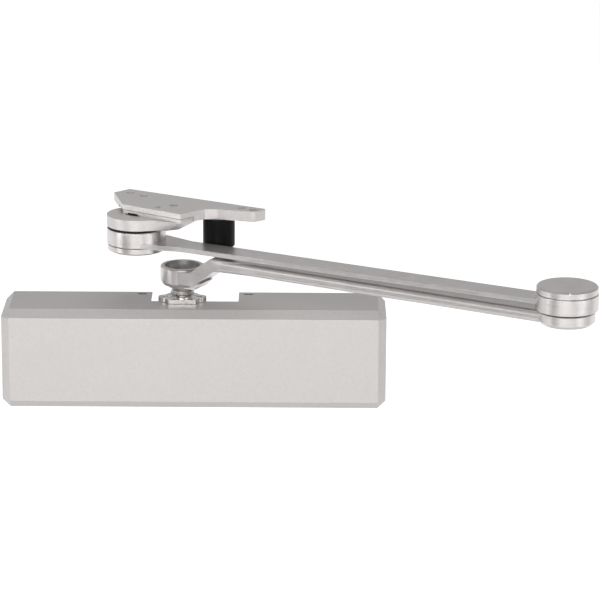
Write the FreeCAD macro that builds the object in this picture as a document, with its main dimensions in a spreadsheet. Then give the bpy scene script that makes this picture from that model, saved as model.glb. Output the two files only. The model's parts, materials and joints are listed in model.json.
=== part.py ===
import FreeCAD, Part
import Sketcher
import math
import os
import re
from FreeCAD import Placement, Rotation, Vector

# Door closer. Millimetres. X runs to the right along the door, Y runs into the door,
# Z is up. The door plane is y = 0 and the body hangs on its -Y side.

SIZES = {
    "cover_length": 311.0,
    "cover_height": 82.5,
    "cover_depth": 58.7,
    "cover_wall": 1.8,
    "cover_bevel": 6.4,
    "corner_cut": 6.5,
    "front_corner": 0.5,
    "notch_width": 71.0,
    "clip_spacing": 87.0,
    "door_hole_spacing": 232.0,
    "door_hole": 6.6,
    "pinion_offset": 10.0,
    "barrel_wall": 6.0,
    "barrel_left": 105.0,
    "barrel_right": 142.0,
    "journal_radius": 8.73,
    "running_gap": 0.05,
    "tower_wall": 3.0,
    "flange_reach": 19.6,
    "flange_flat": 10.8,
    "socket_square": 11.0,
    "cup_radius": 17.8,
    "cup_bore_radius": 14.3,
    "main_arm_length": 343.0,
    "main_arm_width": 27.0,
    "main_arm_thickness": 9.5,
    "main_disc_radius": 21.8,
    "forearm_length": 380.0,
    "forearm_width": 21.5,
    "forearm_thickness": 4.0,
    "joint_disc_radius": 24.0,
    "joint_disc_height": 12.8,
    "stud_radius": 7.0,
    "bushing_wall": 1.5,
    "cap_height": 5.2,
    "shoe_plate_height": 4.2,
    "shoe_boss_height": 8.8,
    "bumper_radius": 12.9,
    "spring_wire": 5.4,
    "spring_length": 100.0,
}
MAIN_SWING = -29.7
FOREARM_SWING = -28.1
SHOE_SWING = -29.7
TEETH = 11
PROFILE_SHIFT = 0.3
SPRING_TURNS = 9.0
VALVES = {"sweep_valve": -84.0, "latch_valve": -66.0, "backcheck_valve": 34.0}
VALVE_RISE = 12.0
SHOE_HOLES = [(-26.0, 32.0), (-11.0, 28.5), (27.0, 14.0), (78.5, 34.5), (89.5, 34.5)]
SHOE_DIMPLE = (19.0, 2.5)
BUMPER_AT = (60.5, 29.0)


def derived(s):
    """Dimensions that follow from the driving sizes."""
    d = {}
    d["half_length"] = s["cover_length"] / 2
    d["half_height"] = s["cover_height"] / 2
    d["inner_half_height"] = d["half_height"] - s["cover_wall"]
    d["barrel_radius"] = (s["cover_depth"] - s["cover_wall"] - 6.9) / 2
    d["bore_radius"] = d["barrel_radius"] - s["barrel_wall"]
    d["axis_depth"] = d["barrel_radius"] + 1.0
    d["gear_module"] = d["bore_radius"] * 0.0921
    d["pitch_radius"] = d["gear_module"] * TEETH / 2
    d["gear_tip_radius"] = d["pitch_radius"] + d["gear_module"] * (1 + PROFILE_SHIFT)
    d["gear_root_radius"] = d["pitch_radius"] - d["gear_module"] * (1.25 - PROFILE_SHIFT)
    d["rack_line"] = d["pitch_radius"] + d["gear_module"] * PROFILE_SHIFT
    d["stroke"] = math.pi * d["pitch_radius"]
    d["gear_half_height"] = d["bore_radius"] * 0.72
    d["base_half_height"] = d["half_height"] - 3.25
    d["door_hole_rise"] = d["base_half_height"] - 6.25
    d["tower_top"] = d["half_height"] - 2.75
    d["seat_radius"] = s["journal_radius"] + 3.6
    d["tower_radius"] = d["seat_radius"] + s["tower_wall"]
    d["bearing_base"] = d["gear_half_height"] + 3.7
    d["flange_base"] = d["half_height"] + 0.3
    d["flange_top"] = d["flange_base"] + 3.3
    d["cup_base"] = d["half_height"] + 12.75
    d["cup_floor"] = d["cup_base"] + 8.4
    d["cup_top"] = d["cup_base"] + 17.6
    d["main_bar_base"] = d["cup_base"] + 20.2
    d["main_bar_top"] = d["main_bar_base"] + s["main_arm_thickness"]
    d["elbow_disc_base"] = d["main_bar_top"] + 1.4
    d["elbow_disc_top"] = d["elbow_disc_base"] + s["joint_disc_height"]
    d["forearm_base"] = d["elbow_disc_base"] + 3.0
    d["shoe_disc_top"] = d["forearm_base"] + s["joint_disc_height"]
    d["boss_base"] = d["shoe_disc_top"] + 2.0
    d["boss_top"] = d["boss_base"] + s["shoe_boss_height"]
    d["rib_top"] = d["boss_top"] + 3.3
    d["plate_top"] = d["rib_top"] + s["shoe_plate_height"]
    d["bushing_radius"] = s["stud_radius"] + s["bushing_wall"]
    d["recess_radius"] = s["joint_disc_radius"] - 3.6
    d["piston_radius"] = d["bore_radius"] - s["running_gap"]
    d["piston_right"] = d["gear_tip_radius"] + 2.1 + 14.0 - s["pinion_offset"]
    d["slot_right"] = d["gear_tip_radius"] + 2.1 - s["pinion_offset"]
    d["slot_left"] = -s["pinion_offset"] - d["stroke"] - d["gear_tip_radius"] - 2.1
    d["piston_left"] = d["slot_left"] - 14.0
    d["spring_right"] = d["piston_right"] + s["spring_length"]
    d["spring_radius"] = d["bore_radius"] - 1.4 - s["spring_wire"] / 2
    return d


DIMS = dict(SIZES)
DIMS.update(derived(SIZES))

doc = FreeCAD.newDocument("door_closer")
sheet = doc.addObject("Spreadsheet::Sheet", "dims")
for row, (alias, value) in enumerate(DIMS.items(), start=1):
    sheet.set("A%d" % row, alias)
    sheet.set("B%d" % row, repr(round(value, 6)))
    sheet.setAlias("B%d" % row, alias)
doc.recompute()

ALIASES = re.compile(r"\b(" + "|".join(sorted(DIMS, key=len, reverse=True)) + r")\b")
NODES = []
AXIS_ALONG = {"up": Rotation(), "right": Rotation(Vector(0, 1, 0), 90), "front": Rotation(Vector(1, 0, 0), 90)}


def bound(text):
    """The expression with every size name pointing at the sheet."""
    return ALIASES.sub(r"dims.\1", str(text))


def number(text):
    """The value of an expression, as a plain number."""
    if isinstance(text, (int, float)):
        return float(text)
    return float(sheet.evalExpression(bound(text)))


def bind(obj, path, text):
    """Set one property from an expression and keep it bound to the sheet."""
    obj.setExpression(path, bound(text))


def bind_place(obj, at, rotation=None):
    """Place an object at a point given by three expressions."""
    obj.Placement = Placement(Vector(*[number(v) for v in at]), rotation or Rotation())
    for axis, text in zip("xyz", at):
        if not isinstance(text, (int, float)):
            bind(obj, "Placement.Base." + axis, text)


def keep(obj, label):
    """Mark a finished sub-part."""
    obj.Label = label
    NODES.append(obj)
    return obj


class Sub:
    """One sub-part modelled as a body of sketches, pads, pockets and turned features."""

    def __init__(self, name, at=(0, 0, 0), along="up", rotation=None):
        self.body = doc.addObject("PartDesign::Body", name)
        bind_place(self.body, at, rotation or AXIS_ALONG[along])
        self.count = 0

    def named(self, kind):
        self.count += 1
        return "%s_%s_%d" % (self.body.Name, kind, self.count)

    def sketch(self, plane="XY_Plane", lift=0):
        sk = self.body.newObject("Sketcher::SketchObject", self.named("sketch"))
        planes = [o for o in self.body.Origin.OriginFeatures if o.Role == plane]
        sk.AttachmentSupport = [(planes[0], "")]
        sk.MapMode = "FlatFace"
        sk.AttachmentOffset = Placement(Vector(0, 0, number(lift)), Rotation())
        if isinstance(lift, str):
            bind(sk, "AttachmentOffset.Base.z", lift)
        return sk

    def outline(self, points, plane="XY_Plane", lift=0):
        """A closed outline of straight sides through the given points."""
        sk = self.sketch(plane, lift)
        corners = [Vector(number(a), number(b), 0) for a, b in points]
        total = len(corners)
        for i in range(total):
            sk.addGeometry(Part.LineSegment(corners[i], corners[(i + 1) % total]), False)
        for i in range(total):
            sk.addConstraint(Sketcher.Constraint("Coincident", i, 2, (i + 1) % total, 1))
        for i, (a, b) in enumerate(points):
            for kind, text, value in (("DistanceX", a, corners[i].x), ("DistanceY", b, corners[i].y)):
                index = sk.addConstraint(Sketcher.Constraint(kind, -1, 1, i, 1, value))
                if isinstance(text, str):
                    bind(sk, "Constraints[%d]" % index, text)
        return sk

    def circles(self, rings, plane="XY_Plane", lift=0):
        """Circles given as (x, y, radius)."""
        sk = self.sketch(plane, lift)
        for i, (x, y, radius) in enumerate(rings):
            centre = Vector(number(x), number(y), 0)
            sk.addGeometry(Part.Circle(centre, Vector(0, 0, 1), number(radius)), False)
            for kind, text in (("DistanceX", x), ("DistanceY", y)):
                value = centre.x if kind == "DistanceX" else centre.y
                index = sk.addConstraint(Sketcher.Constraint(kind, -1, 1, i, 3, value))
                if isinstance(text, str):
                    bind(sk, "Constraints[%d]" % index, text)
            index = sk.addConstraint(Sketcher.Constraint("Radius", i, number(radius)))
            if isinstance(radius, str):
                bind(sk, "Constraints[%d]" % index, radius)
        return sk

    def pad(self, sk, length, both=False):
        feature = self.body.newObject("PartDesign::Pad", self.named("pad"))
        feature.Profile = sk
        feature.Length = number(length)
        if isinstance(length, str):
            bind(feature, "Length", length)
        feature.Midplane = both
        return feature

    def pocket(self, sk, length, upward=True, both=False):
        """Cut along the sketch normal (upward) or against it."""
        feature = self.body.newObject("PartDesign::Pocket", self.named("pocket"))
        feature.Profile = sk
        feature.Length = number(length)
        if isinstance(length, str):
            bind(feature, "Length", length)
        feature.Midplane = both
        feature.Reversed = upward
        return feature

    def turn(self, profile):
        """Turn a half profile of (radius, height) points about the upright axis."""
        sk = self.outline(profile, "XZ_Plane")
        feature = self.body.newObject("PartDesign::Revolution", self.named("turned"))
        feature.Profile = sk
        feature.ReferenceAxis = (sk, ["V_Axis"])
        feature.Angle = 360
        return feature

    def loft(self, first, second):
        feature = self.body.newObject("PartDesign::AdditiveLoft", self.named("loft"))
        feature.Profile = first
        feature.Sections = [second]
        feature.Ruled = True
        return feature

    def fillet(self, radius, chosen):
        """Round the edges for which chosen(edge) is true."""
        doc.recompute()
        base = self.body.Tip
        names = ["Edge%d" % (i + 1) for i, edge in enumerate(base.Shape.Edges) if chosen(edge)]
        feature = self.body.newObject("PartDesign::Fillet", self.named("fillet"))
        feature.Base = (base, names)
        feature.Radius = radius
        return feature


def turned(name, profile, at, along="up"):
    """A plain turned sub-part."""
    sub = Sub(name, at, along)
    sub.turn(profile)
    return keep(sub.body, name)


def ring(inner, outer, low, high):
    """Half profile of a plain ring."""
    return [(inner, low), (outer, low), (outer, high), (inner, high)]


def cylinder(name, radius, height, at, along="up"):
    obj = doc.addObject("Part::Cylinder", name)
    bind(obj, "Radius", radius)
    bind(obj, "Height", height)
    bind_place(obj, at, AXIS_ALONG[along])
    return obj


def box(name, size, at):
    obj = doc.addObject("Part::Box", name)
    for side, text in zip(("Length", "Width", "Height"), size):
        bind(obj, side, text)
    bind_place(obj, at)
    return obj


def cut(name, base, tools):
    tool = tools[0]
    if len(tools) > 1:
        tool = doc.addObject("Part::MultiFuse", name + "_tools")
        tool.Shapes = tools
    obj = doc.addObject("Part::Cut", name)
    obj.Base = base
    obj.Tool = tool
    return obj


def group(name, members):
    obj = doc.addObject("Part::Compound", name)
    obj.Links = members
    return keep(obj, name)


PINION_X = "-pinion_offset"
AXIS_Y = "-axis_depth"
TOWER = (PINION_X, AXIS_Y, 0)


def hull_outline(inset, corner):
    """Corners of the eight-sided outline, a distance inside the outer one."""
    across = "(half_length - (%s))" % inset
    rise = "(half_height - (%s))" % inset
    sides = []
    for sx, sz, first in ((1, 1, "rise"), (-1, 1, "across"), (-1, -1, "rise"), (1, -1, "across")):
        low = (across if sx > 0 else "-" + across, "%s%s" % ("" if sz > 0 else "-", "(%s - %s)" % (rise, corner)))
        high = ("%s(%s - %s)" % ("" if sx > 0 else "-", across, corner), rise if sz > 0 else "-" + rise)
        sides += [low, high] if first == "rise" else [high, low]
    return sides


def cover_block(name, inset, front):
    """The bevelled block of the cover: eight-sided at the back, nearly square-cornered in front."""
    sub = Sub(name)
    reach = "cover_depth - cover_bevel"
    sub.pad(sub.outline(hull_outline(inset, "corner_cut"), "XZ_Plane"), reach)
    step = "%s + cover_bevel * (%s)" % (inset, front)
    back = sub.outline(hull_outline(inset, "corner_cut"), "XZ_Plane", reach)
    nose = sub.outline(hull_outline(step, "front_corner"), "XZ_Plane", "%s + cover_bevel * (%s)" % (reach, front))
    sub.loft(back, nose)
    return sub.body


def make_cover():
    outer = cover_block("cover_outside", "0", "1")
    inner = cover_block("cover_hollow", "cover_wall", "1 - cover_wall / cover_bevel")
    tools = [inner]
    tools.append(box("cover_notch", ("notch_width", "axis_depth + 4", "cover_wall * 3"),
                     ("-notch_width / 2", "-axis_depth - 1.5", "half_height - cover_wall * 2")))
    tools.append(cylinder("cover_relief", "flange_flat - 0.8", "cover_wall * 3",
                          (PINION_X, AXIS_Y, "half_height - cover_wall * 2")))
    for i, side in enumerate(("-clip_spacing / 2", "clip_spacing / 2")):
        for j, low in enumerate(("half_height - cover_wall * 2", "-half_height - cover_wall")):
            tools.append(box("cover_slot_%d%d" % (i, j), ("8", "2.4", "cover_wall * 3"),
                             (side + " - 4", "-7.2", low)))
    keep(cut("cover", outer, tools), "cover")


def make_cover_clips():
    """Four small spring tabs between the casting and the cover."""
    members = []
    for i, side in enumerate(("-clip_spacing / 2", "clip_spacing / 2")):
        for j, sign in enumerate((1, -1)):
            foot_low = "base_half_height" if sign > 0 else "-inner_half_height"
            tab_low = "inner_half_height - 0.2" if sign > 0 else "-half_height - 0.3"
            foot = box("clip_foot_%d%d" % (i, j), ("10", "6.5", "inner_half_height - base_half_height"),
                       (side + " - 5", "-7.5", foot_low))
            tab = box("clip_tab_%d%d" % (i, j), ("6.4", "1", "cover_wall + 0.5"), (side + " - 3.2", "-6.5", tab_low))
            clip = doc.addObject("Part::MultiFuse", "clip_%d%d" % (i, j))
            clip.Shapes = [foot, tab]
            members.append(clip)
    group("cover_clips", members)


def make_housing():
    """The cast body: barrel, base plate, pinion tower and valve bosses, bored out."""
    base = box("housing_base", ("door_hole_spacing + 20", "8", "1.5 * base_half_height"),
               ("-(door_hole_spacing + 20) / 2", "-8", "-0.75 * base_half_height"))
    ears = []
    for i, (middle, wide) in enumerate((("-door_hole_spacing / 2", 20), ("-clip_spacing / 2", 13),
                                        ("clip_spacing / 2", 13), ("door_hole_spacing / 2", 20))):
        ears.append(box("housing_ear_%d" % i, (wide, "8", "2 * base_half_height"),
                        ("%s - %s" % (middle, wide / 2), "-8", "-base_half_height")))
    barrel = cylinder("housing_barrel", "barrel_radius", "barrel_left + barrel_right",
                      ("-barrel_left", AXIS_Y, 0), "right")
    saddle = box("housing_saddle", ("barrel_left + barrel_right - 30", "axis_depth", "barrel_radius * 1.5"),
                 ("-barrel_left + 15", AXIS_Y, "-barrel_radius * 0.75"))
    tower = cylinder("housing_tower", "tower_radius", "2 * tower_top", (PINION_X, AXIS_Y, "-tower_top"))
    bosses = []
    for name, x in VALVES.items():
        bosses.append(cylinder("housing_boss_" + name, "6.5", "barrel_radius + 2 - bore_radius * 0.7",
                               (x, "-axis_depth - bore_radius * 0.7", VALVE_RISE), "front"))
    solid = doc.addObject("Part::MultiFuse", "housing_solid")
    solid.Shapes = [base, barrel, saddle, tower] + ears + bosses
    tools = [cylinder("housing_bore", "bore_radius", "barrel_left + barrel_right + 2",
                      ("-barrel_left - 1", AXIS_Y, 0), "right")]
    tools.append(cylinder("left_counterbore", "bore_radius + 2", "15", ("-barrel_left - 1", AXIS_Y, 0), "right"))
    tools.append(cylinder("right_counterbore", "bore_radius + 2", "11", ("barrel_right - 10", AXIS_Y, 0), "right"))
    tools.append(cylinder("pinion_way", "journal_radius + 1.2", "2 * tower_top + 2", (PINION_X, AXIS_Y, "-tower_top - 1")))
    for i, low in enumerate(("bearing_base", "-tower_top - 1")):
        tools.append(cylinder("tower_seat_%d" % i, "seat_radius", "tower_top + 1 - bearing_base", (PINION_X, AXIS_Y, low)))
    for i, x in enumerate(("-door_hole_spacing / 2", "door_hole_spacing / 2")):
        for j, z in enumerate(("door_hole_rise", "-door_hole_rise")):
            tools.append(cylinder("door_hole_%d%d" % (i, j), "door_hole / 2", "10", (x, "1", z), "front"))
    for name, x in VALVES.items():
        tools.append(cylinder("valve_way_" + name, "3.05", "8.5",
                              (x, "-axis_depth - barrel_radius + 5.5", VALVE_RISE), "front"))
    keep(cut("housing", solid, tools), "housing")


def make_bearings():
    """Needle bearings, seals and caps at both ends of the pinion tower."""
    journal = "journal_radius + running_gap"
    for name, flip in (("upper", 1), ("lower", -1)):
        def level(text):
            return text if flip > 0 else "-(%s)" % text
        shell = Sub(name + "_bearing_shell", TOWER)
        shell.turn(ring("seat_radius - 1.2", "seat_radius", level("bearing_base"), level("bearing_base + 9")))
        rollers = []
        pitch = number("(journal_radius + running_gap + seat_radius - 1.2) / 2")
        for i in range(14):
            angle = math.radians(360 / 14 * i)
            spot = ("-pinion_offset + %.5f" % (pitch * math.cos(angle)), "-axis_depth + %.5f" % (pitch * math.sin(angle)),
                    "bearing_base + 0.3" if flip > 0 else "-bearing_base - 8.7")
            rollers.append(cylinder("%s_roller_%d" % (name, i), "(seat_radius - 1.2 - journal_radius - running_gap) / 2", "8.4", spot))
        group(name + "_needle_bearing", [shell.body] + rollers)
        turned(name + "_shaft_seal", ring(journal, "seat_radius", level("bearing_base + 9"), level("bearing_base + 12")), TOWER)
    cap = Sub("upper_bearing_cap", TOWER)
    cap.turn([(journal, "bearing_base + 12"), ("seat_radius", "bearing_base + 12"), ("seat_radius", "tower_top"),
              ("flange_flat - 1.1", "tower_top"), ("flange_flat - 1.1", "flange_base + 0.5"), (journal, "flange_base + 0.5")])
    flat = [("-0.56 * flange_reach", "-flange_flat"), ("0.56 * flange_reach", "-flange_flat"),
            ("0.72 * flange_reach", "-0.29 * flange_reach"), ("0.72 * flange_reach", "0.29 * flange_reach"),
            ("0.56 * flange_reach", "flange_flat"), ("-0.56 * flange_reach", "flange_flat"),
            ("-0.72 * flange_reach", "0.29 * flange_reach"), ("-0.72 * flange_reach", "-0.29 * flange_reach")]
    cap.pad(cap.outline(flat, lift="flange_base"), "flange_top - flange_base")
    for side in ("", "-"):
        lug = (side + "0.71 * flange_reach", 0, "0.29 * flange_reach")
        cap.pad(cap.circles([lug], lift="flange_base"), "flange_top - flange_base")
    for side in ("", "-"):
        cap.pocket(cap.circles([(side + "0.71 * flange_reach", 0, 2)], lift="flange_top - 1.6"), 2)
    cap.pocket(cap.circles([(0, 0, journal)], lift="flange_base - 1"), "flange_top - flange_base + 2")
    keep(cap.body, "upper_bearing_cap")
    turned("lower_bearing_cap", [(0, "-tower_top"), ("seat_radius", "-tower_top"), ("seat_radius", "-bearing_base - 12"),
                                 (journal, "-bearing_base - 12"), (journal, "-tower_top + 1.5"), (0, "-tower_top + 1.5")], TOWER)


def make_end_plugs():
    """Threaded plugs that close the barrel, and their sealing rings."""
    plug = Sub("left_end_plug", ("-barrel_left", AXIS_Y, 0), "right")
    plug.turn([(0, 14), ("bore_radius", 14), ("bore_radius", 12), ("bore_radius - 1.6", 12), ("bore_radius - 1.6", 10),
               ("bore_radius + 2", 10), ("bore_radius + 2", 0), ("bore_radius - 3", 0), ("bore_radius - 3", -4), (0, -4)])
    hexagon = [(7 * math.cos(math.radians(60 * i)), 7 * math.sin(math.radians(60 * i))) for i in range(6)]
    plug.pocket(plug.outline(hexagon, lift=-4), 7)
    keep(plug.body, "left_end_plug")
    turned("right_end_plug", [(5.1, -10), ("bore_radius - 1.6", -10), ("bore_radius - 1.6", -7), ("bore_radius + 2", -7),
                              ("bore_radius + 2", 0), ("barrel_radius - 1", 0), ("barrel_radius - 1", 4), (5.1, 4)],
           ("barrel_right", AXIS_Y, 0), "right")
    seals = []
    for name, at in (("left_plug_seal", "-barrel_left + 10"), ("right_plug_seal", "barrel_right - 10")):
        seal = Sub(name, (at, AXIS_Y, 0), "right")
        outer = "bore_radius" if "left" in name else "bore_radius + 2"
        low = 0 if "left" in name else 0.5
        seal.turn(ring("bore_radius - 1.6", outer, low, 2 + low))
        seals.append(seal.body)
    group("end_plug_seals", seals)


def involute_outline():
    """Outline of the pinion teeth, with one tooth pointing along +Y."""
    module = DIMS["gear_module"]
    pitch = DIMS["pitch_radius"]
    pressure = math.radians(20)
    base = pitch * math.cos(pressure)
    tooth = module * (math.pi / 2 + 2 * PROFILE_SHIFT * math.tan(pressure)) - 0.06
    half = tooth / (2 * pitch) + math.tan(pressure) - pressure
    tip = DIMS["gear_tip_radius"]
    root = DIMS["gear_root_radius"]
    flank = [(root, half)]
    for i in range(9):
        radius = base + (tip - base) * i / 8
        roll = math.sqrt(max(0.0, (radius / base) ** 2 - 1))
        flank.append((radius, half - (roll - math.atan(roll))))
    points = []
    for k in range(TEETH):
        middle = math.pi / 2 + 2 * math.pi * k / TEETH
        for radius, off in flank:
            points.append(Vector(radius * math.cos(middle - off), radius * math.sin(middle - off), 0))
        for radius, off in reversed(flank):
            points.append(Vector(radius * math.cos(middle + off), radius * math.sin(middle + off), 0))
    return points


def make_pinion():
    """The toothed spindle: journals, teeth, waisted neck, square drive and tapped end."""
    sub = Sub("pinion_spindle", TOWER)
    sub.turn([(0, "-tower_top + 2"), ("journal_radius - 0.6", "-tower_top + 2"), ("journal_radius", "-tower_top + 2.6"),
              ("journal_radius", "flange_top - 0.3"), ("journal_radius - 1.13", "flange_top"), ("journal_radius - 1.03", "flange_top + 0.8"), (9.6, "cup_base - 6"),
              (9.9, "cup_base - 4.9"), (8.6, "cup_base - 2.6"), (7.1, "cup_base - 1.2"), (7.1, "cup_base - 0.3"),
              (0, "cup_base - 0.3")])
    half = "socket_square / 2"
    square = [("-" + half, "-" + half), (half, "-" + half), (half, half), ("-" + half, half)]
    sub.pad(sub.outline(square, lift="cup_base - 0.3"), "cup_floor - cup_base + 0.1")
    teeth = doc.addObject("Part::Feature", "pinion_teeth")
    points = involute_outline()
    face = Part.Face(Part.makePolygon(points + [points[0]]))
    teeth.Shape = face.extrude(Vector(0, 0, 2 * DIMS["gear_half_height"]))
    bind_place(teeth, (PINION_X, AXIS_Y, "-gear_half_height"))
    whole = doc.addObject("Part::MultiFuse", "pinion_whole")
    whole.Shapes = [sub.body, teeth]
    tapped = cylinder("pinion_tapping", "4", "18", (PINION_X, AXIS_Y, "cup_floor - 18"))
    centre = cylinder("pinion_centre", "2.5", "6", (PINION_X, AXIS_Y, "-tower_top + 1"))
    keep(cut("pinion", whole, [tapped, centre]), "pinion")


def rack_outline():
    """Slot in the piston with rack teeth on its far side, as (x, y) points."""
    module = DIMS["gear_module"]
    step = math.pi * module
    line = DIMS["rack_line"]
    slope = math.tan(math.radians(20))
    half = step / 4 - 0.12
    root = line + 1.25 * module
    tip = line - 0.8 * module
    left = DIMS["slot_left"]
    right = DIMS["slot_right"]
    points = [(left, -root), (right, -root), (right, root)]
    first = -DIMS["pinion_offset"]
    middles = [first + (k + 0.5) * step for k in range(3, -12, -1)]
    for middle in middles:
        wide = half + 1.25 * module * slope
        if middle + wide > right - 0.3 or middle - wide < left + 0.3:
            continue
        narrow = half - 0.8 * module * slope
        points += [(middle + wide, root), (middle + narrow, tip), (middle - narrow, tip), (middle - wide, root)]
    points.append((left, root))
    return points


def make_piston():
    sub = Sub("piston", (0, AXIS_Y, 0))
    sub.pad(sub.circles([(0, 0, "piston_radius")], "YZ_Plane", "piston_left"), "piston_right - piston_left")
    sub.pocket(sub.outline([(round(x, 4), round(y, 4)) for x, y in rack_outline()]), "3 * bore_radius", both=True)
    for side in (-1, 1):
        sub.pocket(sub.circles([("0", side * 9.5, 3.3)], "YZ_Plane", "piston_left"), 7)
    keep(sub.body, "piston")
    balls = []
    caps = []
    for i, side in enumerate((-9.5, 9.5)):
        ball = doc.addObject("Part::Sphere", "check_ball_%d" % i)
        ball.Radius = 2.6
        bind_place(ball, ("piston_left + 4.4", AXIS_Y, side))
        balls.append(ball)
        cap = Sub("check_retainer_%d" % i, ("piston_left", AXIS_Y, side), "right")
        cap.turn(ring(1.2, 3.3, 0, 1.6))
        caps.append(cap.body)
    group("check_valve_balls", balls)
    group("check_valve_retainers", caps)


def make_spring():
    """Closing spring wound about the barrel axis."""
    sub = Sub("closer_spring", ("piston_right + spring_wire / 2 + 0.1", AXIS_Y, 0), "right")
    sk = sub.circles([("spring_radius", 0, "spring_wire / 2")], "XZ_Plane")
    helix = sub.body.newObject("PartDesign::AdditiveHelix", "spring_helix")
    helix.Profile = sk
    helix.ReferenceAxis = (sk, ["V_Axis"])
    helix.Mode = 1
    helix.Height = number("spring_length - spring_wire - 0.2")
    bind(helix, "Height", "spring_length - spring_wire - 0.2")
    helix.Turns = SPRING_TURNS
    keep(sub.body, "closer_spring")
    turned("spring_seat_nut", [(5.1, 0), ("bore_radius - 0.4", 0), ("bore_radius - 0.4", 5), (9, 5), (9, 7), (5.1, 7)],
           ("spring_right + 0.1", AXIS_Y, 0), "right")
    screw = Sub("spring_adjust_screw", ("barrel_right", AXIS_Y, 0), "right")
    screw.turn([(0, "spring_right - barrel_right - 6"), (5, "spring_right - barrel_right - 6"), (5, 4.2), (8, 4.2), (8, 9.5), (0, 9.5)])
    hexagon = [(4 * math.cos(math.radians(60 * i)), 4 * math.sin(math.radians(60 * i))) for i in range(6)]
    screw.pocket(screw.outline(hexagon, lift=5.5), 6)
    keep(screw.body, "spring_adjust_screw")


def make_valves():
    for name, x in VALVES.items():
        valve = Sub(name, (x, "-axis_depth - barrel_radius + 5.4", VALVE_RISE), "front")
        valve.turn([(0, 0), (1.4, 0), (3, 2.2), (3, 8.6), (2.6, 9), (0, 9)])
        valve.pocket(valve.outline([(-4, -0.45), (4, -0.45), (4, 0.45), (-4, 0.45)], lift=7.6), 3)
        keep(valve.body, name)


def along_arm(turn):
    return Rotation(Vector(0, 0, 1), turn)


def elbow_xy():
    turn = math.radians(MAIN_SWING)
    return (-DIMS["pinion_offset"] + DIMS["main_arm_length"] * math.cos(turn),
            -DIMS["axis_depth"] + DIMS["main_arm_length"] * math.sin(turn))


def shoe_xy():
    turn = math.radians(FOREARM_SWING)
    x, y = elbow_xy()
    return (x - DIMS["forearm_length"] * math.cos(turn), y - DIMS["forearm_length"] * math.sin(turn))


def make_main_arm():
    """Arm with a cup-shaped hub, a cranked neck, a thick bar and the elbow disc."""
    sub = Sub("main_arm_solid", TOWER, rotation=along_arm(MAIN_SWING))
    side = [(6, "cup_base + 5.6"), (19.4, "cup_base + 5.6"), (38, "main_bar_base"),
            ("main_arm_length + 12", "main_bar_base"), ("main_arm_length + 12", "main_bar_top"),
            (34, "main_bar_top"), (16.5, "cup_top - 1.2"), (6, "cup_top - 1.2")]
    sub.pad(sub.outline(side, "XZ_Plane"), "2 * cup_radius", both=True)
    for sign in ("", "-"):
        waste = [(2, sign + "0.994 * cup_radius"), (40, sign + "main_arm_width / 2"),
                 ("main_arm_length + 14", sign + "main_arm_width / 2"), ("main_arm_length + 14", sign + "(cup_radius + 2)"),
                 (2, sign + "(cup_radius + 2)")]
        sub.pocket(sub.outline(waste, lift="cup_base - 2"), "main_bar_top - cup_base + 4")
    lip = [(4, "cup_base + 0.6"), (16.8, "cup_base + 0.6"), (23.5, "cup_base + 7"), (4, "cup_base + 7")]
    sub.pad(sub.outline(lip, "XZ_Plane"), 19, both=True)

    def long_edge(edge):
        bounds = edge.BoundBox
        reach = abs(bounds.YMin) > number("main_arm_width / 2 - 0.1")
        return reach and bounds.YLength < 0.01 and bounds.XLength > 100
    sub.fillet(3.9, long_edge)
    sub.pocket(sub.circles([("main_arm_length", 0, "stud_radius")], lift="main_bar_base - 1"), "main_arm_thickness + 2")
    x, y = elbow_xy()
    disc = Sub("main_arm_disc", (round(x, 5), round(y, 5), 0))
    disc.turn([("stud_radius", "main_bar_base"), ("main_disc_radius - 2", "main_bar_base"),
               ("main_disc_radius", "main_bar_base + 2.4"), ("main_disc_radius", "main_bar_top - 0.5"),
               ("main_disc_radius - 0.5", "main_bar_top"), ("stud_radius", "main_bar_top")])
    hub = Sub("main_arm_hub", TOWER)
    hub.turn([(0, "cup_base"), (11.5, "cup_base"), (12.2, "cup_base + 1.6"), ("cup_radius - 2", "cup_base + 2.4"),
              ("cup_radius", "cup_base + 5.6"), ("cup_radius", "cup_top - 0.8"), ("cup_radius - 0.8", "cup_top"), (0, "cup_top")])
    whole = doc.addObject("Part::MultiFuse", "main_arm_whole")
    whole.Shapes = [sub.body, disc.body, hub.body]
    bowl = Sub("cup_hollow", TOWER)
    bowl.turn([(0, "cup_floor"), ("cup_bore_radius", "cup_floor"), ("cup_bore_radius", "cup_top + 1"), (0, "cup_top + 1")])
    socket = Sub("drive_socket", TOWER)
    half = "(socket_square / 2 + 0.01)"
    square = [("-" + half, "-" + half), (half, "-" + half), (half, half), ("-" + half, half)]
    socket.pad(socket.outline(square, lift="cup_base - 1"), "cup_floor - cup_base + 2")
    keep(cut("main_arm", whole, [bowl.body, socket.body]), "main_arm")


def make_arm_fixings():
    """Screw and washer that hold the main arm on the pinion's square end."""
    turned("arm_washer", ring(4.2, 10, "cup_floor", "cup_floor + 1.4"), TOWER)
    screw = Sub("arm_screw", TOWER)
    screw.turn([(0, "cup_floor - 14"), (4, "cup_floor - 14"), (4, "cup_floor + 1.4"), (7.5, "cup_floor + 1.4"),
                (7.5, "cup_floor + 2.6"), (6.2, "cup_floor + 3.8"), (0, "cup_floor + 3.8")])
    hexagon = [(2.9 * math.cos(math.radians(60 * i)), 2.9 * math.sin(math.radians(60 * i))) for i in range(6)]
    screw.pocket(screw.outline(hexagon, lift="cup_floor + 1.2"), 4)
    keep(screw.body, "arm_screw")


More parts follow.
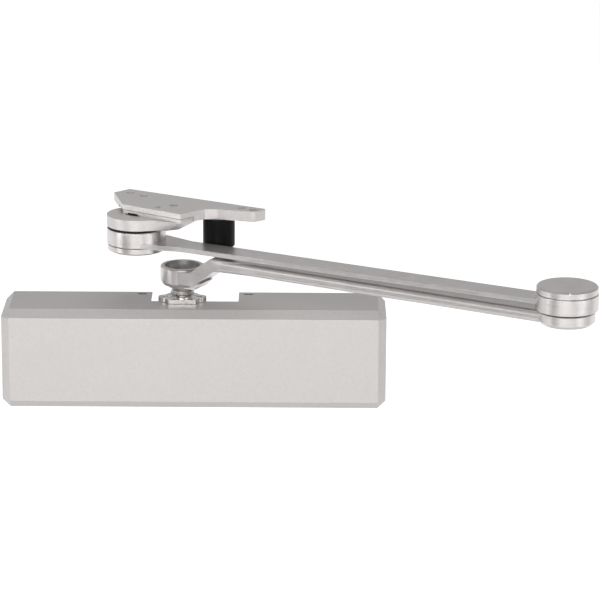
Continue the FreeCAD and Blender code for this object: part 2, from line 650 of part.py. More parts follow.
def make_forearm():
    """Flat bar with a thick disc at each end."""
    x, y = shoe_xy()
    rotation = along_arm(FOREARM_SWING)
    sub = Sub("forearm", (round(x, 5), round(y, 5), 0), rotation=rotation)
    flare = "joint_disc_radius * 0.78"
    start = "joint_disc_radius * 0.62"
    half = "forearm_width / 2"
    plan = [(start, "-" + flare), (46, "-" + half), ("forearm_length - 12", "-" + half), ("forearm_length - 12", half),
            (46, half), (start, flare)]
    sub.pad(sub.outline(plan, lift="forearm_base"), "forearm_thickness")

    def lower_edge(edge):
        bounds = edge.BoundBox
        low = abs(bounds.ZMax - number("forearm_base")) < 0.01
        return low and bounds.XLength > 100
    sub.fillet(0.8, lower_edge)
    sub.pad(sub.circles([(0, 0, "joint_disc_radius")], lift="forearm_base"), "joint_disc_height")
    sub.pad(sub.circles([("forearm_length", 0, "joint_disc_radius")], lift="elbow_disc_base"), "joint_disc_height")

    def disc_edge(edge):
        bounds = edge.BoundBox
        level = min(abs(bounds.ZMin - number(text)) for text in
                    ("forearm_base", "shoe_disc_top", "elbow_disc_base", "elbow_disc_top"))
        return bounds.ZLength < 0.01 and level < 0.01 and bounds.YLength > number("joint_disc_radius * 1.9")
    sub.fillet(0.7, disc_edge)
    for at, base in ((0, "forearm_base"), ("forearm_length", "elbow_disc_base")):
        sub.pocket(sub.circles([(at, 0, "bushing_radius")], lift=base + " - 1"), "joint_disc_height + 2")
    sub.pocket(sub.circles([("forearm_length", 0, "recess_radius")], lift="elbow_disc_top - 5"), 6)
    sub.pocket(sub.circles([(0, 0, "recess_radius")], lift="forearm_base - 1"), 6)
    keep(sub.body, "forearm")


def joint_stack(name, at, disc_low, top, head):
    """Stud, bushing, retaining ring, cover cap and washer of one arm joint.

    The recess opens upward when top is true, downward when it is false.
    """
    x, y = at
    spot = (round(x, 5), round(y, 5), 0)
    middle = "(%s + joint_disc_height / 2)" % disc_low

    def level(offset):
        return "%s %s (%s)" % (middle, "+" if top else "-", offset)
    turned(name + "_bushing", ring("stud_radius + running_gap", "bushing_radius",
                                   level("-joint_disc_height / 2"), level("joint_disc_height / 2 - 5")), spot)
    turned(name + "_retaining_ring", ring("stud_radius - 0.6", "stud_radius + 3.2",
                                          level("joint_disc_height / 2 - 4.6"), level("joint_disc_height / 2 - 3.4")), spot)
    cap = Sub(name + "_cap", spot)
    cap.turn([(0, level("joint_disc_height / 2 + 0.5 + cap_height")),
              ("joint_disc_radius - 1.4", level("joint_disc_height / 2 + 0.5 + cap_height")),
              ("joint_disc_radius - 0.4", level("joint_disc_height / 2 + cap_height - 0.5")),
              ("joint_disc_radius - 0.4", level("joint_disc_height / 2 + 0.5")),
              ("recess_radius + 1.6", level("joint_disc_height / 2 + 0.5")),
              ("recess_radius + 1.6", level("joint_disc_height / 2")),
              ("recess_radius", level("joint_disc_height / 2")),
              ("recess_radius", level("joint_disc_height / 2 - 1.8")),
              (0, level("joint_disc_height / 2 - 1.8"))])
    if top:
        cap.pocket(cap.circles([(0, "-joint_disc_radius + 0.2", 0.9)], lift=level("joint_disc_height / 2 + 3.2")), 4)
    keep(cap.body, name + "_cap")
    turned(name + "_washer", ring("stud_radius", "joint_disc_radius - %s" % head["inset"], level("-joint_disc_height / 2 - 0.05"),
                                  level("-joint_disc_height / 2 - %s" % head["gap"])), spot)
    stud = [(0, level("joint_disc_height / 2 - 2.4")), ("stud_radius - 0.6", level("joint_disc_height / 2 - 2.4")),
            ("stud_radius - 0.6", level("joint_disc_height / 2 - 3.4")), ("stud_radius - 0.6", level("joint_disc_height / 2 - 4.6")),
            ("stud_radius", level("joint_disc_height / 2 - 4.6"))] + head["profile"]
    turned(name + "_stud", stud, spot)


def make_joints():
    elbow = {"gap": "1.4", "inset": "3.6", "profile": [("stud_radius", "main_bar_base"), (0, "main_bar_base")]}
    joint_stack("elbow", elbow_xy(), "elbow_disc_base", True, elbow)
    shoe = {"gap": "2", "inset": "0.5", "profile": [("stud_radius", "boss_top - 1.6"), ("stud_radius + 1.4", "boss_top - 1.6"),
                                      ("stud_radius + 1.4", "boss_top - 0.6"), ("stud_radius + 0.6", "boss_top - 0.2"), (0, "boss_top - 0.2")]}
    joint_stack("shoe", shoe_xy(), "forearm_base", False, shoe)


def make_soffit_shoe():
    """Screw-on plate with a boss for the arm and a strip that carries the stop."""
    x, y = shoe_xy()
    sub = Sub("soffit_shoe", (round(x, 5), round(y, 5), 0), rotation=along_arm(SHOE_SWING))
    plate = [(-38, 25.5), (-33.5, 42), (99.5, 42), (94, 27.5), (64, 21), (55.5, 15.5), (51, 4.5), (48, -9), (-10.5, -4.5)]
    sub.pad(sub.outline(plate, lift="rib_top"), "shoe_plate_height")
    core = [(-9.5, -2.8), (46.2, -7), (49, 5), (54, 16), (50, 38), (-20, 38), (-26, 26)]
    sub.pad(sub.outline(core, lift="boss_top"), "rib_top - boss_top")
    rib = [(-10, -4), (47.4, -8.4), (50, 4), (46, 36), (-18, 36), (-22, 20)]
    sub.pad(sub.outline(rib, lift="boss_top"), "rib_top - boss_top - 0.6")
    heel = [(-38, 25.5), (-33.5, 42), (-14, 42), (-12, 20), (-22, 8)]
    sub.pad(sub.outline(heel, lift="rib_top - 2.2"), 2.2)
    strip = [(99.5, 42), (94, 27.5), (64, 21), (55.5, 15.5), (51.3, 5.5), (43, 8), (39, 42)]
    sub.pad(sub.outline(strip, lift="boss_top - 0.8"), "rib_top - boss_top + 0.8")
    sub.pad(sub.circles([(0, 0, "joint_disc_radius")], lift="boss_base"), "shoe_boss_height")
    foot = [(6, -20), (19, -14.8), (33, -5), (38.5, 3), (38, 11), (34, 15), (30, 17), (6, 22)]
    knee = [(6, -22), (24, -13), (46.8, -8), (49.5, 3.5), (53, 14.2), (47, 19), (46, 31), (6, 31)]
    low = sub.outline(foot, lift="boss_base")
    high = sub.outline(knee, lift="boss_top")
    sub.loft(low, high)

    def strip_corner(edge):
        bounds = edge.BoundBox
        upright = bounds.XLength < 0.01 and bounds.YLength < 0.01
        return upright and bounds.XMax > 60 and bounds.ZLength > 3
    sub.fillet(3.5, strip_corner)

    sub.pocket(sub.circles([(0, 0, 9)], lift="boss_top - 1.6"), 1.7)
    sub.pocket(sub.circles([(0, 0, "stud_radius")], lift="boss_base - 1"), "shoe_boss_height + 2")
    sub.pocket(sub.circles([(hx, hy, 3.3) for hx, hy in SHOE_HOLES], lift="boss_base - 1"), "plate_top - boss_base + 2")
    seats = ["rib_top - 0.2", "boss_top + 2", "boss_top", "boss_top + 1.2", "boss_top + 1.2"]
    for (hx, hy), seat in zip(SHOE_HOLES, seats):
        sub.pocket(sub.circles([(hx, hy, 5.4)], lift="boss_base - 1"), seat + " - boss_base + 1")
    sub.pocket(sub.circles([(SHOE_DIMPLE[0], SHOE_DIMPLE[1], 2.5)], lift="plate_top - 3"), 4)
    sub.pocket(sub.circles([(BUMPER_AT[0], BUMPER_AT[1], 3)], lift="boss_top - 1"), 5.5)
    keep(sub.body, "soffit_shoe")
    place = sub.body.Placement
    spot = place.multVec(Vector(BUMPER_AT[0], BUMPER_AT[1], 0))
    at = (round(spot.x, 5), round(spot.y, 5), 0)
    turned("bumper", [(3, "main_bar_top + 3"), ("bumper_radius - 0.8", "main_bar_top + 3"), ("bumper_radius", "main_bar_top + 3.8"),
                      ("bumper_radius", "boss_top - 0.8"), (3, "boss_top - 0.8")], at)
    turned("bumper_stud", [(0, "main_bar_top + 5"), (3, "main_bar_top + 5"), (3, "boss_top + 4.3"), (0, "boss_top + 4.3")], at)


make_cover()
make_cover_clips()
make_housing()
make_bearings()
make_end_plugs()
make_pinion()
make_piston()
make_spring()
make_valves()
make_main_arm()
make_arm_fixings()
make_forearm()
make_joints()
make_soffit_shoe()
doc.recompute()

broken = [o.Name for o in doc.Objects if "Invalid" in o.State or "Error" in o.State]
if broken:
    raise RuntimeError("objects that did not build: " + ", ".join(broken))
for node in NODES:
    if node.Shape.isNull() or not node.Shape.isValid() or not node.Shape.Solids:
        raise RuntimeError("bad shape: " + node.Label)

os.makedirs("parts", exist_ok=True)
for node in NODES:
    node.Shape.exportStep("parts/%s.step" % node.Label)
print("wrote", len(NODES), "nodes")
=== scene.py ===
import json
import math
import bpy
import bmesh
from mathutils import Matrix, Vector


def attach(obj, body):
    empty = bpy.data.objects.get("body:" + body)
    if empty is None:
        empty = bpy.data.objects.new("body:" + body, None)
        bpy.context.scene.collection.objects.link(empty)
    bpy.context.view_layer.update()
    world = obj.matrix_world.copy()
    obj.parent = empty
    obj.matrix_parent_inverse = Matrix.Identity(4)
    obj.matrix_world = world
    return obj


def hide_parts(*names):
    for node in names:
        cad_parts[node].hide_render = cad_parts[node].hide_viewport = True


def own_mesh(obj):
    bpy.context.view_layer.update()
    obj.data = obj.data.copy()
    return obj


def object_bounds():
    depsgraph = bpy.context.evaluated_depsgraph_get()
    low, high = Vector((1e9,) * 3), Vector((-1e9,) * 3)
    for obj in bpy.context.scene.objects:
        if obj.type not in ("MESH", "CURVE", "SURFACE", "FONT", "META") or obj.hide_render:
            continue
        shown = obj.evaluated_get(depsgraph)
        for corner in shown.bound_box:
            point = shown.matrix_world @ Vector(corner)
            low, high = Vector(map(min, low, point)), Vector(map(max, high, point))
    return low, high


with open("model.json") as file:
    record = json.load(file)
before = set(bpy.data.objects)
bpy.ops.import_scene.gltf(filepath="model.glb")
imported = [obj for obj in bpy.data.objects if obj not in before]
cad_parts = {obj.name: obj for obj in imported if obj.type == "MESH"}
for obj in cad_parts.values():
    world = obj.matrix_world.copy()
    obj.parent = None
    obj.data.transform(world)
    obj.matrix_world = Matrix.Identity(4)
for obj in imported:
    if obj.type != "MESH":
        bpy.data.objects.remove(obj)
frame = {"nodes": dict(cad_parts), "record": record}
cad_low, cad_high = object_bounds()
NODES = frame["nodes"]
BODY_OF = {node: body for body, nodes in frame["record"]["behaviour"]["bodies"].items() for node in nodes}
MM = 0.001

# Places in the frame: the spindle's axis and the undersides of its two bearings; then the angle past which
# edges are rounded.
SPINDLE = (-0.010, -0.026)
UPPER_BEARING = 17.38 * MM
LOWER_BEARING = -26.38 * MM
EDGE_ANGLE = math.radians(33)

# Light levels: watts for the soft boxes, and the sky's grey from straight down to straight up.
FRONT_POWER = 36
RIGHT_POWER = 15
LEFT_POWER = 12
TOP_POWER = 10
SKY = ((0.0, 0.85), (0.50, 0.90), (0.62, 0.62), (1.0, 0.36))
SKY_POWER = 0.8
FLOOR_GLOW = 0.6

# The low dark card as left, right, near, far and height, and the dark flag's middle, size and aim.
CARD = (-1.7, -0.55, -1.6, -0.55, -0.30)
FLAG_AT = (-1.15, -0.93, 0.61)
FLAG_SIZE = (1.2, 0.5)
FLAG_AIM = (0.08, -0.1, 0.1)
FLOOR_DROP = 0.32

# ---------------------------------------------------------------- camera, light and floor


def place_camera():
    """A long lens about two and a half metres away, looking down at the closer by 16 degrees."""
    data = bpy.data.cameras.new("camera")
    data.sensor_width = 36
    data.lens = 189.8
    data.clip_start = 0.1
    data.clip_end = 100
    cam = bpy.data.objects.new("camera", data)
    bpy.context.scene.collection.objects.link(cam)
    tilt = math.radians(15.9)
    reach = 2.6
    cam.location = (0.0856, -reach * math.cos(tilt), 0.7472)
    look = Matrix.Rotation(math.pi / 2 - tilt, 4, "X")
    roll = Matrix.Rotation(math.radians(0.33), 4, "Z")
    cam.rotation_mode = "QUATERNION"
    cam.rotation_quaternion = (look @ roll).to_quaternion()
    bpy.context.scene.camera = cam


def area_light(name, place, target, size, power):
    data = bpy.data.lights.new(name, "AREA")
    data.shape = "RECTANGLE"
    data.size, data.size_y = size
    data.energy = power
    lamp = bpy.data.objects.new(name, data)
    bpy.context.scene.collection.objects.link(lamp)
    lamp.location = place
    aim = Vector(target) - Vector(place)
    lamp.rotation_mode = "QUATERNION"
    lamp.rotation_quaternion = aim.to_track_quat("-Z", "Y")
    return lamp


def light_studio():
    """Soft boxes in front, a weaker one above, and a pale sky that is dimmer overhead."""
    middle = (0.08, -0.08, 0.05)
    area_light("front_box", (-0.4, -2.4, 0.75), middle, (2.4, 1.5), FRONT_POWER)
    area_light("right_box", (1.9, -1.5, 0.55), middle, (0.9, 1.6), RIGHT_POWER)
    area_light("left_strip", (-1.9, -0.9, 0.4), middle, (0.6, 1.6), LEFT_POWER)
    area_light("top_box", (0.1, 0.6, 2.0), middle, (1.6, 1.0), TOP_POWER)
    world = bpy.data.worlds.new("studio")
    bpy.context.scene.world = world
    world.use_nodes = True
    tree = world.node_tree
    tree.nodes.clear()
    coord = tree.nodes.new("ShaderNodeTexCoord")
    split = tree.nodes.new("ShaderNodeSeparateXYZ")
    ramp = tree.nodes.new("ShaderNodeValToRGB")
    shift = tree.nodes.new("ShaderNodeMapRange")
    glow = tree.nodes.new("ShaderNodeBackground")
    out = tree.nodes.new("ShaderNodeOutputWorld")
    shift.inputs["From Min"].default_value = -1
    shift.inputs["From Max"].default_value = 1
    ramp.color_ramp.elements[0].position = SKY[0][0]
    ramp.color_ramp.elements[1].position = SKY[-1][0]
    for position, value in SKY[1:-1]:
        ramp.color_ramp.elements.new(position)
    for element, (position, value) in zip(ramp.color_ramp.elements, SKY):
        element.position = position
        element.color = (value, value, value, 1)
    tree.links.new(coord.outputs["Generated"], split.inputs[0])
    tree.links.new(split.outputs["Z"], shift.inputs["Value"])
    tree.links.new(shift.outputs["Result"], ramp.inputs["Fac"])
    tree.links.new(ramp.outputs["Color"], glow.inputs["Color"])
    tree.links.new(glow.outputs["Background"], out.inputs["Surface"])
    glow.inputs["Strength"].default_value = SKY_POWER
    bpy.context.scene.view_settings.view_transform = "Standard"


def stage_sheet(name, corners, finish):
    """One flat staged sheet."""
    mesh = bpy.data.meshes.new(name)
    mesh.from_pydata(corners, [], [(0, 1, 2, 3)])
    mesh.materials.append(finish)
    sheet = bpy.data.objects.new(name, mesh)
    bpy.context.scene.collection.objects.link(sheet)
    return sheet


def lay_floor():
    """A pale floor that glows behind the closer, and a dark card in front that shapes the reflections."""
    half = 9.0
    level = cad_low.z - FLOOR_DROP
    paint = Finish("pale_floor")
    speck = paint.noise(paint.place(), 2.0, 3)
    tone = paint.mix((0.90, 0.90, 0.90), (0.93, 0.93, 0.93), speck)
    depth = paint.node("ShaderNodeSeparateXYZ", {}, {"Vector": paint.place()}, "Y")
    back = paint.span(depth, 0.05, 0.32, 0.12, 1.0)
    glow = paint.mix((0, 0, 0), (1, 1, 1), back)
    paint.surface(tone, roughness=0.9, emission=glow, Emission_Strength=FLOOR_GLOW)
    stage_sheet("studio_floor", [(-half, -half, level), (half, -half, level),
                                 (half, half, level), (-half, half, level)], paint.material)
    card = Finish("dark_card")
    card.surface((0.05, 0.05, 0.05), roughness=0.9)
    left, right, near, far, low = CARD
    sheet = stage_sheet("dark_card", [(left, near, low), (right, near, low),
                                      (right, far, low), (left, far, low)], card.material)
    sheet.visible_camera = False
    sheet.visible_shadow = False
    hang_flag(card.material)


def hang_flag(finish):
    """A dark flag high at the front left, square on to the closer."""
    centre = Vector(FLAG_AT)
    facing = (Vector(FLAG_AIM) - centre).normalized()
    along = facing.cross(Vector((0, 0, 1))).normalized()
    rise = along.cross(facing)
    wide = along * (FLAG_SIZE[0] / 2)
    high = rise * (FLAG_SIZE[1] / 2)
    corners = [tuple(centre - wide - high), tuple(centre + wide - high),
               tuple(centre + wide + high), tuple(centre - wide + high)]
    flag = stage_sheet("dark_flag", corners, finish)
    flag.visible_camera = False
    flag.visible_shadow = False


# ---------------------------------------------------------------- shader helpers


class Flow:
    """A number, colour or vector inside a finish. Sums on it add the nodes they need."""

    def __init__(self, finish, socket):
        self.finish = finish
        self.socket = socket

    def _sum(self, operation, a, b):
        return self.finish.node("ShaderNodeMath", {"operation": operation}, {0: a, 1: b})

    def __add__(self, other):
        return self._sum("ADD", self, other)

    def __radd__(self, other):
        return self._sum("ADD", other, self)

    def __sub__(self, other):
        return self._sum("SUBTRACT", self, other)

    def __rsub__(self, other):
        return self._sum("SUBTRACT", other, self)

    def __mul__(self, other):
        return self._sum("MULTIPLY", self, other)

    def __rmul__(self, other):
        return self._sum("MULTIPLY", other, self)

    def __truediv__(self, other):
        return self._sum("DIVIDE", self, other)


class Graph:
    """A node tree, with one way to add any node to it."""

    def node(self, kind, settings=None, values=None, out=0):
        """Any node: its settings first, then values or links for its sockets."""
        made = self.tree.nodes.new(kind)
        for key, value in (settings or {}).items():
            setattr(made, key, value)
        for key, value in (values or {}).items():
            if isinstance(value, Flow):
                self.tree.links.new(value.socket, made.inputs[key])
            else:
                made.inputs[key].default_value = value
        return Flow(self, made.outputs[out])

    def least(self, a, b):
        return self.node("ShaderNodeMath", {"operation": "MINIMUM"}, {0: a, 1: b})

    def most(self, a, b):
        return self.node("ShaderNodeMath", {"operation": "MAXIMUM"}, {0: a, 1: b})


class Finish(Graph):
    """A material and the few ways its nodes are joined."""

    def __init__(self, name):
        self.material = bpy.data.materials.new(name)
        self.material.use_nodes = True
        self.tree = self.material.node_tree
        self.tree.nodes.clear()

    def place(self, scale=(1, 1, 1), turn=(0, 0, 0)):
        """Object coordinates in metres, stretched and turned."""
        raw = self.node("ShaderNodeTexCoord", out="Object")
        return self.node("ShaderNodeMapping", {}, {"Vector": raw, "Rotation": turn, "Scale": scale})

    def noise(self, where, scale, detail=2, roughness=0.5):
        return self.node("ShaderNodeTexNoise", {}, {"Vector": where, "Scale": scale, "Detail": detail,
                                                    "Roughness": roughness})

    def cells(self, where, scale, out="Color"):
        return self.node("ShaderNodeTexVoronoi", {}, {"Vector": where, "Scale": scale}, out)

    def grey(self, colour):
        return self.node("ShaderNodeRGBToBW", {}, {"Color": colour})

    def span(self, value, low, high, to_low=0.0, to_high=1.0):
        return self.node("ShaderNodeMapRange", {}, {"Value": value, "From Min": low, "From Max": high,
                                                    "To Min": to_low, "To Max": to_high})

    def mix(self, a, b, factor):
        a = (*a, 1) if isinstance(a, tuple) else a
        b = (*b, 1) if isinstance(b, tuple) else b
        return self.node("ShaderNodeMix", {"data_type": "RGBA"}, {0: factor, 6: a, 7: b}, 2)

    def bump(self, height, depth, strength=1.0):
        return self.node("ShaderNodeBump", {}, {"Height": height, "Distance": depth, "Strength": strength})

    def surface(self, colour, roughness, metallic=0.0, normal=None, emission=None, **fixed):
        shader = self.tree.nodes.new("ShaderNodeBsdfPrincipled")
        sockets = {"Base Color": colour, "Roughness": roughness, "Metallic": metallic}
        if emission is not None:
            sockets["Emission Color"] = emission
        if normal is not None:
            sockets["Normal"] = normal
        for key, value in sockets.items():
            if isinstance(value, Flow):
                self.tree.links.new(value.socket, shader.inputs[key])
            else:
                shader.inputs[key].default_value = (*value, 1) if isinstance(value, tuple) else value
        for key, value in fixed.items():
            shader.inputs[key.replace("_", " ")].default_value = value
        out = self.tree.nodes.new("ShaderNodeOutputMaterial")
        self.tree.links.new(shader.outputs[0], out.inputs["Surface"])
        return self.material


# ---------------------------------------------------------------- finishes


def sprayed_silver():
    """Aluminium-colour spray paint: fine flake, faint orange peel."""
    paint = Finish("sprayed_silver")
    here = paint.place()
    flake = paint.grey(paint.cells(here, 1900))
    cloud = paint.noise(here, 420, 4, 0.6)
    drift = paint.noise(here, 14, 2)
    tone = 0.5 + (flake - 0.5) * 0.22 + (cloud - 0.5) * 0.5 + (drift - 0.5) * 0.12
    colour = paint.mix((0.43, 0.413, 0.406), (0.60, 0.578, 0.570), tone)
    rough = 0.44 + (flake - 0.5) * 0.16 + (cloud - 0.5) * 0.1
    peel = paint.noise(here, 520, 2)
    normal = paint.bump(peel + flake * 0.35, 0.00006, 0.55)
    return paint.surface(colour, rough, 0.45, normal)


def satin_brushed(name, light, dark, streak=(30, 30, 2600), shine=0.30, metallic=0.85, turn=(0, 0, 0)):
    """Silver steel with fine brush lines."""
    steel = Finish(name)
    lines = steel.noise(steel.place(streak, turn), 1.0, 3, 0.65)
    patches = steel.noise(steel.place(), 120, 3)
    grain = steel.noise(steel.place(), 1500, 2)
    tone = steel.span(lines, 0.3, 0.7) * 0.55 + steel.span(patches, 0.3, 0.7) * 0.25 + grain * 0.2
    colour = steel.mix(dark, light, tone)
    rough = shine + (lines - 0.5) * 0.10 + (patches - 0.5) * 0.05
    normal = steel.bump(lines + grain * 0.3, 0.00002, 0.2)
    return steel.surface(colour, rough, metallic, normal)


def satin_cast():
    """Sprayed silver over a blasted casting: coarser and paler than the cover."""
    paint = Finish("satin_cast")
    here = paint.place()
    flake = paint.grey(paint.cells(here, 1500))
    cloud = paint.noise(here, 500, 4, 0.65)
    drift = paint.noise(here, 30, 2)
    tone = 0.5 + (flake - 0.5) * 0.3 + (cloud - 0.5) * 0.6 + (drift - 0.5) * 0.15
    colour = paint.mix((0.47, 0.452, 0.442), (0.70, 0.676, 0.664), tone)
    rough = 0.40 + (flake - 0.5) * 0.15 + (cloud - 0.5) * 0.1
    grit = paint.noise(here, 620, 2)
    return paint.surface(colour, rough, 0.55, paint.bump(grit + flake * 0.35, 0.00008, 0.6))


def bright_steel():
    steel = Finish("bright_steel")
    rings = steel.noise(steel.place((60, 60, 5200)), 1.0, 2)
    smear = steel.noise(steel.place(), 240, 3)
    colour = steel.mix((0.50, 0.48, 0.46), (0.86, 0.85, 0.83), steel.span(smear, 0.3, 0.7))
    return steel.surface(colour, 0.16 + smear * 0.12, 1.0, steel.bump(rings, 0.00002, 0.4))


def dark_casting():
    iron = Finish("cast_body")
    here = iron.place()
    lumps = iron.noise(here, 620, 5, 0.65)
    stain = iron.noise(here, 40, 3)
    colour = iron.mix((0.10, 0.10, 0.105), (0.22, 0.22, 0.225), lumps * 0.6 + stain * 0.4)
    return iron.surface(colour, 0.5 + lumps * 0.25, 0.6, iron.bump(lumps, 0.0002, 0.7))


def moulded_rubber():
    rubber = Finish("moulded_rubber")
    here = rubber.place()
    fine = rubber.noise(here, 900, 3)
    bands = rubber.noise(rubber.place((40, 40, 4)), 6.0, 2)
    colour = rubber.mix((0.0015, 0.0015, 0.0015), (0.005, 0.005, 0.005), fine * 0.5 + bands * 0.5)
    normal = rubber.bump(fine, 0.00005, 0.5)
    return rubber.surface(colour, 0.36 + bands * 0.2, 0.0, normal, Specular_IOR_Level=0.09)


def black_washer():
    plastic = Finish("black_washer")
    fine = plastic.noise(plastic.place(), 700, 2)
    colour = plastic.mix((0.006, 0.006, 0.006), (0.014, 0.014, 0.014), fine)
    normal = plastic.bump(fine, 0.00003, 0.4)
    return plastic.surface(colour, 0.5 + fine * 0.15, 0.0, normal, Specular_IOR_Level=0.15)


def oiled_bronze():
    bronze = Finish("oiled_bronze")
    here = bronze.place()
    pores = bronze.noise(here, 1800, 2)
    stain = bronze.noise(here, 200, 3)
    colour = bronze.mix((0.32, 0.19, 0.08), (0.52, 0.36, 0.17), pores * 0.5 + stain * 0.5)
    return bronze.surface(colour, 0.3 + pores * 0.2, 1.0, bronze.bump(pores, 0.00004, 0.4))


def zinc_plate():
    zinc = Finish("zinc_plate")
    here = zinc.place()
    spangle = zinc.grey(zinc.cells(here, 900))
    haze = zinc.noise(here, 160, 3)
    colour = zinc.mix((0.42, 0.43, 0.45), (0.66, 0.66, 0.65), spangle * 0.35 + haze * 0.65)
    return zinc.surface(colour, 0.26 + haze * 0.2, 1.0, zinc.bump(haze, 0.00003, 0.4))


def oiled_spring_steel():
    steel = Finish("oiled_spring_steel")
    here = steel.place()
    haze = steel.noise(here, 300, 3)
    colour = steel.mix((0.05, 0.05, 0.06), (0.16, 0.16, 0.17), haze)
    return steel.surface(colour, 0.24 + haze * 0.2, 0.9, steel.bump(haze, 0.00004, 0.5))


def ground_steel():
    steel = Finish("ground_steel")
    lines = steel.noise(steel.place((900, 30, 30)), 1.0, 3)
    colour = steel.mix((0.40, 0.40, 0.42), (0.62, 0.62, 0.63), steel.span(lines, 0.3, 0.7))
    return steel.surface(colour, 0.2 + lines * 0.2, 1.0, steel.bump(lines, 0.00002, 0.4))


place_camera()
light_studio()
lay_floor()

ARM_LIGHT = (0.70, 0.672, 0.664)
ARM_DARK = (0.54, 0.518, 0.510)
FINISHES = {
    "silver_paint": sprayed_silver(),
    "cast_body": dark_casting(),
    "bright_steel": bright_steel(),
    "zinc_steel": zinc_plate(),
    "spring_steel": oiled_spring_steel(),
    "bearing_steel": ground_steel(),
    "satin_arm": satin_brushed("satin_arm", ARM_LIGHT, ARM_DARK),
    "satin_cast": satin_cast(),
    "bronze": oiled_bronze(),
    "black_rubber": moulded_rubber(),
    "black_washer": black_washer(),
}
SLOT_OF = {entry["node"]: entry["material_slot"] for entry in frame["record"]["subparts"]}


def dress(node):
    """Give a CAD node the finish of its own slot."""
    mesh = NODES[node].data
    mesh.materials.clear()
    mesh.materials.append(FINISHES[SLOT_OF[node]])


def settle(name, mesh, nodes):
    """Put a finished mesh in the frame as the piece that stands for these CAD nodes."""
    piece = bpy.data.objects.new(name, mesh)
    bpy.context.scene.collection.objects.link(piece)
    if not mesh.materials:
        mesh.materials.append(FINISHES[SLOT_OF[nodes[0]]])
    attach(piece, BODY_OF[nodes[0]])
    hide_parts(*nodes)
    return piece


def merged_copy(node):
    """The CAD node's mesh with shared points joined and flat faces made whole."""
    shape = bmesh.new()
    shape.from_mesh(NODES[node].data)
    shape.transform(NODES[node].matrix_world)
    bmesh.ops.remove_doubles(shape, verts=shape.verts, dist=0.000002)
    bmesh.ops.dissolve_limit(shape, angle_limit=math.radians(0.4), verts=shape.verts, edges=shape.edges,
                             delimit={"NORMAL"})
    return shape


def baked(name, mesh, modifiers):
    """The mesh after a list of (kind, settings) modifiers."""
    worker = bpy.data.objects.new(name, mesh)
    bpy.context.scene.collection.objects.link(worker)
    for kind, settings in modifiers:
        modifier = worker.modifiers.new(kind.lower(), kind)
        for key, value in settings.items():
            setattr(modifier, key, value)
    bpy.context.view_layer.update()
    seen = worker.evaluated_get(bpy.context.evaluated_depsgraph_get())
    done = bpy.data.meshes.new_from_object(seen)
    bpy.data.objects.remove(worker)
    bpy.data.meshes.remove(mesh)
    done.name = name
    return done


def rounded(node, width):
    """A CAD piece with its sharp edges rounded off and its curved faces shaded smooth."""
    shape = merged_copy(node)
    mesh = bpy.data.meshes.new(node + "_rounded")
    shape.to_mesh(mesh)
    shape.free()
    for face in mesh.polygons:
        face.use_smooth = True
    steps = [("BEVEL", {"width": width, "segments": 3, "limit_method": "ANGLE", "angle_limit": EDGE_ANGLE,
                        "use_clamp_overlap": True, "miter_outer": "MITER_ARC"}),
             ("WEIGHTED_NORMAL", {"mode": "FACE_AREA", "weight": 100, "keep_sharp": True})]
    mesh = baked(node + "_rounded", mesh, steps)
    return settle(node + "_rounded", mesh, [node])


# ---------------------------------------------------------------- pieces that follow a rule


class Recipe(Graph):
    """A Geometry Nodes tree with named sizes."""

    def __init__(self, name, sizes):
        self.sizes = sizes
        self.tree = bpy.data.node_groups.new(name, "GeometryNodeTree")
        self.tree.interface.new_socket("Geometry", in_out="OUTPUT", socket_type="NodeSocketGeometry")
        self.keys = {}
        for label, value in sizes.items():
            kind = "NodeSocketInt" if isinstance(value, int) else "NodeSocketFloat"
            socket = self.tree.interface.new_socket(label, in_out="INPUT", socket_type=kind)
            self.keys[label] = socket.identifier
        self.entry = self.tree.nodes.new("NodeGroupInput")

    def size(self, label):
        return Flow(self, self.entry.outputs[label])

    def position(self, x, y, z):
        return self.node("ShaderNodeCombineXYZ", {}, {"X": x, "Y": y, "Z": z})

    def made(self, geometry, finish):
        """Close the tree, run it with its sizes and return the plain mesh."""
        whole = self.node("GeometryNodeRealizeInstances", {}, {"Geometry": geometry})
        painted = self.node("GeometryNodeSetMaterial", {}, {"Geometry": whole, "Material": finish})
        leave = self.tree.nodes.new("NodeGroupOutput")
        self.tree.links.new(painted.socket, leave.inputs[0])
        worker = bpy.data.objects.new(self.tree.name, bpy.data.meshes.new(self.tree.name))
        bpy.context.scene.collection.objects.link(worker)
        modifier = worker.modifiers.new("recipe", "NODES")
        modifier.node_group = self.tree
        for label, value in self.sizes.items():
            modifier[self.keys[label]] = value
        bpy.context.view_layer.update()
        seen = worker.evaluated_get(bpy.context.evaluated_depsgraph_get())
        mesh = bpy.data.meshes.new_from_object(seen)
        bpy.data.objects.remove(worker)
        return mesh


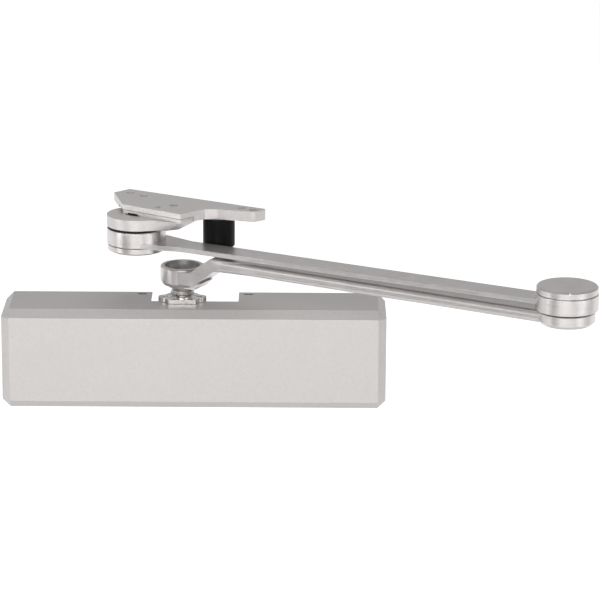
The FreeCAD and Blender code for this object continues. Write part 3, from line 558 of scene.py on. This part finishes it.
def wound_spring():
    """Compression spring about the barrel axis, its first and last turns closed flat."""
    coil = Recipe("wound_spring", {"Start": 18.1 * MM, "Length": 99.8 * MM, "Coil Radius": 14.9 * MM,
                                   "Wire": 5.4 * MM, "Turns": 9.5, "Axis Depth": 26.0 * MM, "Steps": 460})
    turns, wire = coil.size("Turns"), coil.size("Wire")
    along = coil.node("GeometryNodeSplineParameter", out="Factor") * turns
    open_pitch = (coil.size("Length") - wire * 3.0) / (turns - 2.0)
    middle = coil.most(coil.least(along - 1.0, turns - 2.0), 0.0)
    rise = wire * coil.least(along, 1.0) + open_pitch * middle + wire * coil.most(along - turns + 1.0, 0.0)
    angle = along * (2 * math.pi)
    cosine = coil.node("ShaderNodeMath", {"operation": "COSINE"}, {0: angle})
    sine = coil.node("ShaderNodeMath", {"operation": "SINE"}, {0: angle})
    radius = coil.size("Coil Radius")
    spot = coil.position(coil.size("Start") + wire * 0.5 + rise,
                         radius * cosine - coil.size("Axis Depth"), radius * sine)
    line = coil.node("GeometryNodeCurvePrimitiveLine", {}, {"End": (1, 0, 0)})
    line = coil.node("GeometryNodeResampleCurve", {}, {"Curve": line, "Count": coil.size("Steps")})
    line = coil.node("GeometryNodeSetPosition", {}, {"Geometry": line, "Position": spot})
    round_wire = coil.node("GeometryNodeCurvePrimitiveCircle", {}, {"Resolution": 14, "Radius": wire * 0.5})
    rod = coil.node("GeometryNodeCurveToMesh", {}, {"Curve": line, "Profile Curve": round_wire,
                                                    "Fill Caps": True})
    mesh = coil.made(rod, FINISHES["spring_steel"])
    piece = settle("wound_spring", mesh, ["closer_spring"])
    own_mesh(piece)


def needle_ring(node, low):
    """Thin shell with fourteen rollers standing round the spindle."""
    rings = Recipe(node + "_rollers", {"Shell Radius": 11.73 * MM, "Shell Wall": 1.2 * MM, "Height": 9.0 * MM,
                                       "Roller Circle": 9.955 * MM, "Roller Radius": 1.17 * MM, "Rollers": 14,
                                       "Base": low})
    height = rings.size("Height")
    circle = rings.node("GeometryNodeMeshCircle", {}, {"Vertices": rings.size("Rollers"),
                                                       "Radius": rings.size("Roller Circle")})
    needle = {"Vertices": 16, "Side Segments": 1, "Fill Segments": 1,
              "Radius": rings.size("Roller Radius"), "Depth": height - 0.6 * MM}
    roller = rings.node("GeometryNodeMeshCylinder", {}, needle)
    crowd = rings.node("GeometryNodeInstanceOnPoints", {}, {"Points": circle, "Instance": roller})
    hoop = rings.node("GeometryNodeCurvePrimitiveCircle", {}, {"Resolution": 72,
                                                               "Radius": rings.size("Shell Radius")})
    wall = rings.node("GeometryNodeCurvePrimitiveQuadrilateral", {}, {"Width": rings.size("Shell Wall"),
                                                                      "Height": height})
    shell = rings.node("GeometryNodeCurveToMesh", {}, {"Curve": hoop, "Profile Curve": wall})
    both = rings.tree.nodes.new("GeometryNodeJoinGeometry")
    rings.tree.links.new(crowd.socket, both.inputs[0])
    rings.tree.links.new(shell.socket, both.inputs[0])
    lift = rings.position(*SPINDLE, rings.size("Base") + height * 0.5)
    joined = Flow(rings, both.outputs[0])
    placed = rings.node("GeometryNodeTransform", {}, {"Geometry": joined, "Translation": lift})
    settle(node + "_rollers", rings.made(placed, FINISHES["bearing_steel"]), [node])


# ---------------------------------------------------------------- the pieces

for node in NODES:
    dress(node)

ROUNDINGS = {
    "cover": 0.55 * MM,
    "main_arm": 0.45 * MM,
    "forearm": 0.7 * MM,
    "elbow_cap": 0.7 * MM,
    "shoe_cap": 0.5 * MM,
    "soffit_shoe": 0.8 * MM,
    "upper_bearing_cap": 0.35 * MM,
    "bumper": 0.5 * MM,
    "shoe_washer": 0.15 * MM,
    "elbow_washer": 0.15 * MM,
    "arm_screw": 0.25 * MM,
    "arm_washer": 0.15 * MM,
    "elbow_stud": 0.2 * MM,
    "shoe_stud": 0.2 * MM,
    "housing": 0.6 * MM,
    "cover_clips": 0.2 * MM,
    "left_end_plug": 0.4 * MM,
    "right_end_plug": 0.4 * MM,
    "lower_bearing_cap": 0.3 * MM,
    "pinion": 0.12 * MM,
    "piston": 0.3 * MM,
    "spring_seat_nut": 0.3 * MM,
    "spring_adjust_screw": 0.3 * MM,
    "sweep_valve": 0.15 * MM,
    "latch_valve": 0.15 * MM,
    "backcheck_valve": 0.15 * MM,
}
for node, width in ROUNDINGS.items():
    rounded(node, width)
wound_spring()
needle_ring("upper_needle_bearing", UPPER_BEARING)
needle_ring("lower_needle_bearing", LOWER_BEARING)
